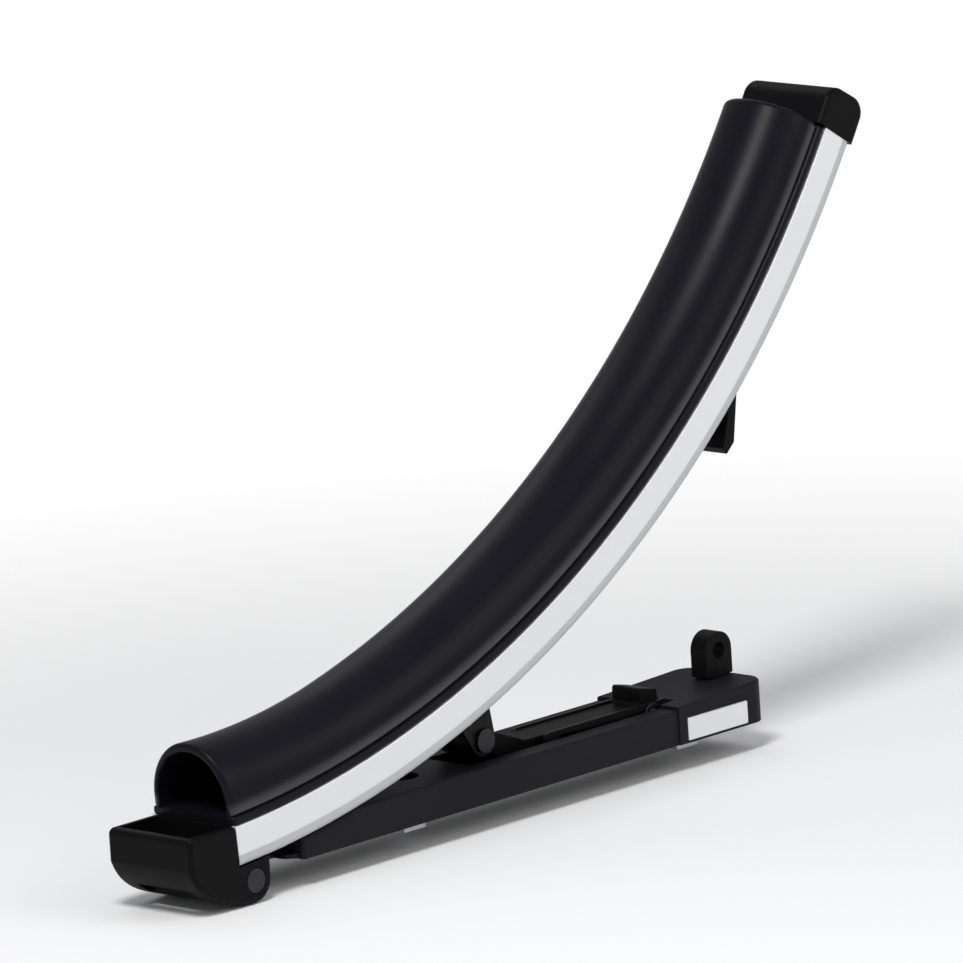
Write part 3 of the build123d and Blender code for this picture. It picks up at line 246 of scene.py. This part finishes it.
# %% Rubber finishes
def rubber(name, dark, pale, gloss, grain, **constants):
    """Rubber between two shades, with a middle roughness and that many lumps of skin to the metre."""
    made = Finish(name, Specular_IOR_Level=0.10, **constants)
    bloom = made.noise(26.0, detail=4.0, roughness=0.6)
    rubbed = made.noise(7.0)
    skin = made.noise(grain)
    pores = made.noise(grain * 3.1, detail=1.0)
    made.feed("Base Color", made.blend(bloom, dark, pale))
    made.feed("Roughness", gloss + 0.14 * bloom - 0.10 * rubbed + 0.05 * pores)
    made.relief(0.7 * skin + 0.3 * pores, depth=0.00012, strength=0.4)
    return made


pad_rubber = rubber(
    "pad_rubber",
    dark=(0.0038, 0.0036, 0.0070),
    pale=(0.0080, 0.0076, 0.0124),
    gloss=0.31,
    grain=900.0,
    Coat_Roughness=0.3,
)
seat_rubber = rubber(
    "seat_rubber",
    dark=(0.010, 0.010, 0.010),
    pale=(0.022, 0.022, 0.021),
    gloss=0.66,
    grain=700.0,
)
print("rubbers:", pad_rubber.material.name, seat_rubber.material.name)

# %% The pad's shiny strip
STRIP_STARTS, STRIP_ENDS = (0.0050, 0.0062), (0.0080, 0.0140)  # metres over the arm's front

over_arm = ARM_FRONT_R - pad_rubber.radius()
begun = pad_rubber.step(over_arm, *STRIP_STARTS)
ended = pad_rubber.step(over_arm, *STRIP_ENDS)
pad_rubber.feed("Coat Weight", begun * (1 - ended))
print("pad rubber nodes:", len(pad_rubber.tree.nodes))

# %% [markdown]
# ## Moulded plastics
# The base is covered by a dark grey moulding with a fine spark-eroded grain, while the foot, the cap,
# the strut and the strap fittings are a deeper black. Grain on such a moulding is about half a
# millimetre across and only some hundredths deep, so it shows as a softened highlight. A Voronoi
# texture gives its cells, and a slow noise changes the gloss a little from place to place.


# %% Plastic finishes
def moulding(name, dark, pale, gloss, depth, specular):
    """Grained plastic between two shades, with a middle roughness and the grain's depth in metres."""
    made = Finish(name, Specular_IOR_Level=specular)
    drift = made.noise(14.0, detail=3.0)
    haze = made.noise(420.0, detail=3.0)
    inputs = {"Vector": made.place(), "Scale": 1900.0, "Smoothness": 0.7}
    cells = made.node("ShaderNodeTexVoronoi", {"feature": "SMOOTH_F1"}, inputs)
    made.feed("Base Color", made.blend(drift, dark, pale))
    made.feed("Roughness", gloss + 0.10 * drift + 0.06 * haze)
    made.relief(0.75 * cells + 0.25 * haze, depth, strength=0.5)
    return made


housing_plastic = moulding(
    "housing_plastic",
    dark=(0.0086, 0.0084, 0.0114),
    pale=(0.0140, 0.0136, 0.0176),
    gloss=0.42,
    depth=0.00006,
    specular=0.09,
)
black_plastic = moulding(
    "black_plastic",
    dark=(0.0024, 0.0024, 0.0030),
    pale=(0.0054, 0.0053, 0.0062),
    gloss=0.38,
    depth=0.00005,
    specular=0.07,
)
bush_plastic = moulding(
    "bush_plastic",
    dark=(0.52, 0.51, 0.48),
    pale=(0.62, 0.61, 0.58),
    gloss=0.34,
    depth=0.00002,
    specular=0.45,
)
print("plastics:", [made.material.name for made in (housing_plastic, black_plastic, bush_plastic)])

# %% [markdown]
# ## Coated and plated steel
# The plate, the rail and the strut's bracket are pressed steel with a black powder coat, which dries
# with a gentle orange-peel. Bolts, nuts and screws are zinc plated: bright, slightly blotchy, with
# turning marks. The pins and their clips are plated too, but passivated black. Metals get their look
# mostly from what they mirror, so their roughness varies more than their colour.

# %% Powder-coated steel
coated_steel = Finish("coated_steel", Specular_IOR_Level=0.09, Coat_Roughness=0.28)
peel = coated_steel.noise(330.0)
worn = coated_steel.noise(60.0, detail=4.0, roughness=0.65)
scuffed = coated_steel.blend(worn, (0.004, 0.004, 0.0045), (0.010, 0.010, 0.011))
coated_steel.feed("Base Color", scuffed)
coated_steel.feed("Roughness", 0.34 + 0.14 * worn)
coated_steel.feed("Coat Weight", 0.04 + 0.06 * peel)
coated_steel.relief(peel, depth=0.00010, strength=0.3)
print("coated steel nodes:", len(coated_steel.tree.nodes))


# %% Plated steel
def plated(name, dark, pale, gloss):
    """Plated steel between two shades, with a middle roughness."""
    made = Finish(name, Metallic=1.0)
    blotch = made.noise(240.0, detail=4.0, roughness=0.6)
    turned = made.noise(2600.0, detail=1.0)
    made.feed("Base Color", made.blend(blotch, dark, pale))
    made.feed("Roughness", gloss + 0.16 * blotch + 0.06 * turned)
    made.relief(turned, depth=0.00002, strength=0.3)
    return made


zinc_steel = plated(
    "zinc_steel",
    dark=(0.42, 0.43, 0.45),
    pale=(0.62, 0.62, 0.62),
    gloss=0.24,
)
pin_steel = plated(
    "black_zinc_steel",
    dark=(0.030, 0.030, 0.034),
    pale=(0.062, 0.061, 0.066),
    gloss=0.30,
)
print("plated steels:", zinc_steel.material.name, pin_steel.material.name)

# %% [markdown]
# ## A finish on every solid
# Each solid already has a material slot, named in the record. Putting our finish in that slot leaves
# the mesh alone. A table of which finish goes where is easier to read than one assignment for each.

# %% Give each solid its finish
FINISH_OF_SLOT = {
    "arm_aluminium": aluminium,
    "pad_rubber": pad_rubber,
    "seat_rubber": seat_rubber,
    "black_steel": coated_steel,
    "housing_plastic": housing_plastic,
    "black_plastic": black_plastic,
    "bush_plastic": bush_plastic,
    "fastener_steel": zinc_steel,
    "pin_steel": pin_steel,
}
for entry in frame["record"]["subparts"]:
    slots = frame["nodes"][entry["node"]].data.materials
    slots.clear()
    slots.append(FINISH_OF_SLOT[entry["material_slot"]].material)

# %% [markdown]
# ## Soft edges
# No moulded or pressed edge is perfectly sharp: a radius of half a millimetre catches a thin line of
# light, and without it a part looks cut from paper. The solids keep their crisp edges, and a Bevel
# modifier rounds them for the eye only. A Weld comes first, because loaded meshes are split along
# every sharp edge. A second Weld closes corners where the rounding ran out of room, and Weighted
# Normals come last, so that the flat faces stay flat.

# %% Round the edges of the rigid solids
WELD_GAP, SHARP_EDGE = 0.000002, radians(40)


def soften(node, mm):
    """Rounds the sharp edges of a solid by that many millimetres."""
    modifiers = frame["nodes"][node].modifiers
    modifiers.new("weld", "WELD").merge_threshold = WELD_GAP
    bevel = modifiers.new("bevel", "BEVEL")
    bevel.width = mm * MM
    bevel.segments = 2
    bevel.limit_method = "ANGLE"
    bevel.angle_limit = SHARP_EDGE
    modifiers.new("seal", "WELD").merge_threshold = WELD_GAP
    modifiers.new("normals", "WEIGHTED_NORMAL").keep_sharp = True


NODES_OF_EDGE = {
    0.4: [
        "strut_rail", "base_plate", "arm_beam", "track_nuts",
        "hinge_clip", "pivot_clip", "slide_clips",
    ],
    0.5: ["end_cover", "base_housing", "strut_bracket", "track_bolts"],
    0.6: ["tip_cap", "hinge_pin", "pivot_pin", "bracket_rivets", "seat_pads"],
    0.8: ["foot_block", "strap_hook", "strap_post"],
    0.9: ["strut"],
}
for mm, nodes in NODES_OF_EDGE.items():
    for node in nodes:
        soften(node, mm)
print("softened:", {mm: len(nodes) for mm, nodes in NODES_OF_EDGE.items()})

# %% [markdown]
# ## The pad
# The pad is a hollow rubber profile: a tongue that slides into the arm's slot, a bead along each edge
# with a fine groove above it, and a dome that stands up to a tall lip at the lower end, where the
# kayak's hull first touches.
# A curve with a bevel could follow the arm, but it can't change height on the way. So we write the
# profile as a list of points, place it at many stations along the bend, and skin it into one mesh.

# %% The pad's profile
ARM_START, ARM_SWEEP = radians(3.8), radians(53.2)
PAD_HALF, PAD_HEIGHT = 32.5, 38.4  # in mm, as are all the lengths of the pad
PAD_LIP, LIP_SWEEP, LIP_POWER = 6.4, radians(10), 1.7
DOME_STEPS, DOME_HALF, SHOULDER = 44, 30.7, 10.5
HOLLOW_HALF, HOLLOW_LOW, ROOF = 26.0, 4.5, 5.5
LEFT_EDGE = [
    (-30.7, 8.4), (-30.7, 6.5), (-30.35, 5.7), (-29.8, 5.2), (-30.3, 4.95), (-31.1, 4.8), (-31.9, 4.4),
    (-32.35, 3.7), (-32.5, 2.6), (-32.4, 1.3), (-31.9, 0.6), (-28.85, 0.5), (-28.85, -3.35),
]
UNDERSIDE = LEFT_EDGE + [(-y, h) for y, h in reversed(LEFT_EDGE)]
TURNS = [pi * k / DOME_STEPS for k in range(DOME_STEPS + 1)]


def pad_height(angle):
    """The pad's height over the arm at that angle, in mm."""
    rise = max(0.0, 1 - (angle - ARM_START) / LIP_SWEEP)
    return PAD_HEIGHT + PAD_LIP * rise**LIP_POWER


def dome(wide, tall):
    """Half an ellipse on the pad's shoulders, from right to left."""
    return [(wide * cos(t), SHOULDER + tall * sin(t)) for t in TURNS]


def outer_profile(angle, inset):
    """Width and height pairs in mm: the dome, then the underside from left to right."""
    crown = dome(DOME_HALF - inset, pad_height(angle) - SHOULDER - inset)
    return crown + [(y * (1 - inset / PAD_HALF), h) for y, h in UNDERSIDE]


def inner_profile(angle, widen):
    """The hollow, with as many points as the outside, so that the two can be joined ring to ring."""
    wide = HOLLOW_HALF + widen
    crown = dome(wide, pad_height(angle) - ROOF - SHOULDER + widen)
    count = len(UNDERSIDE) - 2
    floor = [(-wide + 2 * wide * k / (count - 1), HOLLOW_LOW) for k in range(count)]
    side = (HOLLOW_LOW + SHOULDER) / 2
    return crown + [(-wide, side)] + floor + [(wide, side)]


print("points in the profile:", len(outer_profile(ARM_START, 0)), len(inner_profile(ARM_START, 0)))

# %% [markdown]
# Each ring of points is a profile set across the bend at some angle, and a skin joins each ring to the
# next. Blender's Bridge could join them too, but it picks its own starting points, while equal lists of
# points join one to one.


# %% Helpers that skin rings into a mesh
def new_object(name, data):
    """An object in the scene that shows the data."""
    made = bpy.data.objects.new(name, data)
    bpy.context.scene.collection.objects.link(made)
    return made


def mesh_piece(name, form, smooth_under):
    """An object from a bmesh, shaded smooth except over edges that turn more than an angle."""
    bmesh.ops.recalc_face_normals(form, faces=form.faces)
    for edge in form.edges:
        edge.smooth = len(edge.link_faces) == 2 and edge.calc_face_angle(0) < smooth_under
    for face in form.faces:
        face.smooth = True
    mesh = bpy.data.meshes.new(name)
    form.to_mesh(mesh)
    form.free()
    return new_object(name, mesh)


def skin(form, rings):
    """Joins rings of equal length, each to the next, and closes the first and last one."""
    grown = [[form.verts.new(point) for point in ring] for ring in rings]
    count = len(rings[0])
    for near, far in zip(grown, grown[1:]):
        for i in range(count):
            j = (i + 1) % count
            form.faces.new((near[i], near[j], far[j], far[i]))
    form.faces.new(grown[0])
    form.faces.new(grown[-1])


def across_arm(angle, points):
    """Places width and height pairs on the plane across the arm at that angle."""
    ring = []
    for y, h in points:
        r = ARM_FRONT_R - h * MM
        ring.append(Vector((CURVE_X + r * sin(angle), y * MM, CURVE_Z - r * cos(angle))))
    return ring


middle_ring = across_arm(ARM_START + ARM_SWEEP / 2, [(0, 0)])
print("middle of the arm's front in mm:", [round(v / MM, 1) for v in middle_ring[0]])

# %% [markdown]
# The rings start at the hollow's closed end near the tip, run down inside it, turn over the rim of the
# open lower end, and come back up along the outside. Near the ends a few rings shrink along a quarter
# circle, which rounds the rim as moulded rubber is rounded.

# %% The pad itself
ARM_END = ARM_START + ARM_SWEEP
RIM, BRIM, END_WALL = 3.0, 1.6, 12.0
INNER_STEPS, OUTER_STEPS, RIM_STEPS = 60, 90, 5
PAD_CREASE = radians(38)
QUARTER = [radians(90) * k / RIM_STEPS for k in range(RIM_STEPS + 1)]


def along(mm):
    """The angle on the bend that a length in mm takes up."""
    return mm * MM / ARM_FRONT_R


inner_sweep = ARM_SWEEP - along(END_WALL) - along(BRIM)
outer_sweep = ARM_SWEEP - 2 * along(RIM)
stations = []
for k in range(INNER_STEPS + 1):
    stations.append((ARM_END - along(END_WALL) - inner_sweep * k / INNER_STEPS, inner_profile, 0.0))
for t in QUARTER[1:]:
    stations.append((ARM_START + along(BRIM * (1 - sin(t))), inner_profile, BRIM * (1 - cos(t))))
for t in reversed(QUARTER):
    stations.append((ARM_START + along(RIM * (1 - sin(t))), outer_profile, RIM * (1 - cos(t))))
for k in range(1, OUTER_STEPS + 1):
    stations.append((ARM_START + along(RIM) + outer_sweep * k / OUTER_STEPS, outer_profile, 0.0))
for t in QUARTER[1:]:
    stations.append((ARM_END - along(RIM * (1 - sin(t))), outer_profile, RIM * (1 - cos(t))))
pad_form = bmesh.new()
skin(pad_form, [across_arm(angle, profile(angle, amount)) for angle, profile, amount in stations])
pad = mesh_piece("rubber_pad", pad_form, PAD_CREASE)
pad.data.materials.append(pad_rubber.material)
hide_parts("arm_pad")
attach(pad, "arm")
print("pad faces:", len(pad.data.polygons))

# %% [markdown]
# ## Socket screws
# The cap, the foot and the strap hook are held by zinc-plated screws with a six-sided socket for a key.
# The solids only hold plain heads and shanks, because a socket is too fine for them.
# Each screw is a stack of rings, from the end of the shank to the socket's floor. Circle and hexagon
# get the same number of points, so the skin that made the pad makes the screws too.

# %% One socket screw
RING_POINTS = 24
ROUND = [radians(360 / RING_POINTS * k) for k in range(RING_POINTS)]
CHAMFER, SOCKET_SHARE, SOCKET_FLOOR = 0.5, 0.5, -0.4
CORNER_STEP, HALF_STEP = pi / 3, pi / 6


def screw(form, seat, way, shank, long, head, thick):
    """Adds a screw whose head sits on a place and points along a way; sizes are in mm."""
    across = Vector((0, 1, 0))
    third = way.cross(across)

    def ring(h, reach):
        return [seat + MM * (h * way + reach(t) * (cos(t) * across + sin(t) * third)) for t in ROUND]

    def circle(size):
        return lambda t: size

    def hexagon(t):
        flat = SOCKET_SHARE * head * cos(HALF_STEP)
        return flat / cos((t + HALF_STEP) % CORNER_STEP - HALF_STEP)

    stack = [
        (-long, circle(shank)),
        (0, circle(shank)),
        (0, circle(head)),
        (thick - CHAMFER, circle(head)),
        (thick, circle(head - CHAMFER)),
        (thick, hexagon),
        (thick * SOCKET_FLOOR, hexagon),
    ]
    skin(form, [ring(h, reach) for h, reach in stack])


print("points in a ring of a screw:", len(ROUND))

# %% Pairs of screws on the arm
SCREW_CREASE = radians(30)


def screw_pair(node, angle, tilt, lift, long, radius, half, **head):
    """Two screws at a radius and an angle of the bend, which stand for a node; sizes are in mm."""
    way = Vector((cos(tilt), 0, sin(tilt)))
    form = bmesh.new()
    for side in (half, -half):
        x, z = CURVE_X + MM * radius * sin(angle), CURVE_Z - MM * radius * cos(angle)
        screw(form, Vector((x, MM * side, z)) + MM * lift * way, way, long=long, **head)
    made = mesh_piece(node + "_socketed", form, SCREW_CREASE)
    made.data.materials.append(zinc_steel.material)
    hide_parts(node)
    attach(made, "arm")
    return made


END_SCREW = {"radius": 687.0, "half": 12.0, "shank": 2.4, "head": 4.2, "thick": 2.6}
HOOK_SCREW = {"radius": 697.0, "half": 20.0, "shank": 2.0, "head": 3.6, "thick": 1.8}
TIP, FOOT, HOOK = radians(57.0123), radians(3.7877), radians(42.804)
screws = [
    screw_pair("tip_screws", TIP, tilt=TIP, lift=22.9, long=32.9, **END_SCREW),
    screw_pair("foot_screws", FOOT, tilt=FOOT + pi, lift=3.476, long=14.0, **END_SCREW),
    screw_pair("hook_screws", HOOK, tilt=HOOK - pi / 2, lift=1.4, long=7.9, **HOOK_SCREW),
]
for made in screws:
    low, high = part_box(made.name.replace("_socketed", ""))
    off = 0.0
    for k in range(3):
        spots = [vertex.co[k] for vertex in made.data.vertices]
        off = max(off, abs(min(spots) - low[k]), abs(max(spots) - high[k]))
    print(made.name, "off its solid by mm:", round(off / MM, 3))

# %% [markdown]
# ## The pale plate on the cover
# On the cover's front face a shallow place holds a pale plate. A plate this thin still has rounded
# corners and a soft edge that catches light, so it is a rounded rectangle, extruded and bevelled, and
# not a flat quad.

# %% The plate's finish
plate_finish = Finish("pale_plate", Specular_IOR_Level=0.5, Coat_Roughness=0.15)
smear = plate_finish.noise(90.0, detail=3.0)
plate_finish.feed("Base Color", plate_finish.blend(smear, (0.74, 0.74, 0.76), (0.82, 0.82, 0.83)))
plate_finish.feed("Roughness", 0.30 + 0.12 * smear)
plate_finish.feed("Coat Weight", 0.2 + 0.2 * smear)
print("plate finish nodes:", len(plate_finish.tree.nodes))

# %% The plate
CORNER_SIGNS = ((1, 1), (-1, 1), (-1, -1), (1, -1))
CORNER_STEPS, EDGE_STEPS = 6, 3
PLATE_CREASE = radians(30)


def rounded_plate(name, wide, tall, thick, corner, edge):
    """A plate in the XZ plane, centred on the origin, whose face looks along -Y."""
    form = bmesh.new()
    outline = []
    for k, (sx, sz) in enumerate(CORNER_SIGNS):
        for step in range(CORNER_STEPS + 1):
            t = radians(90) * (k + step / CORNER_STEPS)
            x = sx * (wide / 2 - corner) + corner * cos(t)
            z = sz * (tall / 2 - corner) + corner * sin(t)
            outline.append(form.verts.new((x, 0, z)))
    grown = bmesh.ops.extrude_face_region(form, geom=[form.faces.new(outline)])
    moved = [v for v in grown["geom"] if isinstance(v, bmesh.types.BMVert)]
    bmesh.ops.translate(form, verts=moved, vec=(0, -thick, 0))
    front = [e for e in form.edges if all(v in moved for v in e.verts)]
    bmesh.ops.bevel(form, geom=front, offset=edge, segments=EDGE_STEPS, affect="EDGES")
    return mesh_piece(name, form, PLATE_CREASE)


plate = rounded_plate("pale_plate", wide=0.0514, tall=0.0134, thick=0.0008, corner=0.0012, edge=0.0003)
plate.location = (0.1173, -0.03115, 0.0090)
plate.data.materials.append(plate_finish.material)
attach(plate, "base")
print("plate at", [round(v / MM, 1) for v in plate.location])

# %% [markdown]
# ## Floor and backdrop
# A plain pale floor keeps attention on the part and catches its shadow. It lies at the lowest point of
# the part and reaches well past the frame, so no edge shows. Far from the part it turns to plain white
# for the camera and for reflections only, so it lights nothing by itself.

# %% The floor's finish
WHITE_FROM, WHITE_TO = 0.32, 1.05  # metres from the middle of the part
WHITE_RAYS = ("Is Camera Ray", "Is Glossy Ray", "Is Transmission Ray")

middle = (cad_low + cad_high) / 2
floor_finish = Finish("studio_floor", Specular_IOR_Level=0.2, Roughness=0.9)
tone = floor_finish.noise(0.8)
floor_finish.feed("Base Color", floor_finish.blend(tone, (0.90, 0.90, 0.90), (0.92, 0.92, 0.92)))
aside = floor_finish.axis("X") - middle.x
ahead = floor_finish.axis("Y") - middle.y
away = floor_finish.step(distance(aside, ahead), WHITE_FROM, WHITE_TO)
seen, mirrored, through = (floor_finish.node("ShaderNodeLightPath", output=ray) for ray in WHITE_RAYS)
white = floor_finish.node("ShaderNodeEmission", inputs={"Color": (1, 1, 1, 1), "Strength": 1.0})
surface = Wire(floor_finish, floor_finish.shader.outputs[0])
mix = {0: away * (seen + mirrored + through), 1: surface, 2: white}
both = floor_finish.node("ShaderNodeMixShader", inputs=mix)
output = floor_finish.tree.nodes["Material Output"]
floor_finish.tree.links.new(both.socket, output.inputs["Surface"])
print("floor finish nodes:", len(floor_finish.tree.nodes))

# %% The floor
FLOOR_REACH, FLOOR_GAP = 30.0, 0.0005
FLOOR_SIGNS = ((-1, -1), (1, -1), (1, 1), (-1, 1))

floor_z = cad_low.z - FLOOR_GAP
corners = [(FLOOR_REACH * sx, FLOOR_REACH * sy, floor_z) for sx, sy in FLOOR_SIGNS]
floor_mesh = bpy.data.meshes.new("studio_floor")
floor_mesh.from_pydata(corners, [], [(0, 1, 2, 3)])
floor = new_object("studio_floor", floor_mesh)
floor.data.materials.append(floor_finish.material)
print("floor at", round(floor_z / MM, 1), "mm")

# %% [markdown]
# ## Light
# Soft studio light: an even pale surround, a key lamp high on the left that draws the long highlight
# down the upper half of the pad, a broad lamp in front that lights the bright side of the arm, and a
# rim lamp behind. Their strengths are chosen so that a surface facing them renders about as bright as
# its colour is written.

# %% Surround
world = bpy.data.worlds.new("studio")
bpy.context.scene.world = world
world.use_nodes = True
surround = world.node_tree.nodes["Background"].inputs
surround["Color"].default_value = (0.96, 0.97, 1.0, 1)
surround["Strength"].default_value = 0.38
print("surround strength:", round(surround["Strength"].default_value, 2))


# %% Lamps
def lamp(name, place, size, watts):
    """A round lamp at a place counted from the middle of the part, which it faces; metres."""
    data = bpy.data.lights.new(name, "AREA")
    data.shape = "DISK"
    data.size = size
    data.energy = watts
    made = new_object(name, data)
    made.location = middle + Vector(place)
    made.rotation_euler = (middle - made.location).to_track_quat("-Z", "Y").to_euler()
    return made


lamps = [
    lamp("key", place=(-1.2, -0.6, 2.0), size=0.7, watts=36),
    lamp("front", place=(1.1, -2.6, 1.6), size=2.2, watts=24),
    lamp("rim", place=(0.9, 2.3, 2.3), size=1.8, watts=9),
]
print("lamps:", [made.name for made in lamps])

# %% [markdown]
# ## Camera
# The camera stands in front of the carrier and off its foot's end, about seven metres away and a little
# above, with a long lens: from there the base runs away to the right and the pad's open end faces us.
# A slight roll makes the base climb to the right. Instead of turning an Euler angle by trial, we give
# the camera its place, its aim and the direction that should lie level in the picture.

# %% Camera
STAND = Vector((-4.9423, -4.7220, 1.5757))
LEVEL = Vector((0.69741, -0.71351, -0.06717))
AIM_BACK, AIM_UP = 0.01, 0.005  # metres from the middle of the part

aim = Vector((middle.x - AIM_BACK, 0.0, middle.z + AIM_UP))
look = (aim - STAND).normalized()
right = (LEVEL - look * LEVEL.dot(look)).normalized()
above = right.cross(look)
view = Matrix((right, above, -look)).transposed().to_4x4()
view.translation = STAND
camera_data = bpy.data.cameras.new("camera")
camera_data.sensor_width = 36
camera_data.lens = 457.6
camera_data.clip_end = 100
camera = new_object("camera", camera_data)
camera.matrix_world = view
bpy.context.scene.camera = camera
bpy.context.scene.view_settings.view_transform = "Standard"
print("lens in mm:", round(camera_data.lens), "distance in m:", round((aim - STAND).length, 2))

# %% [markdown]
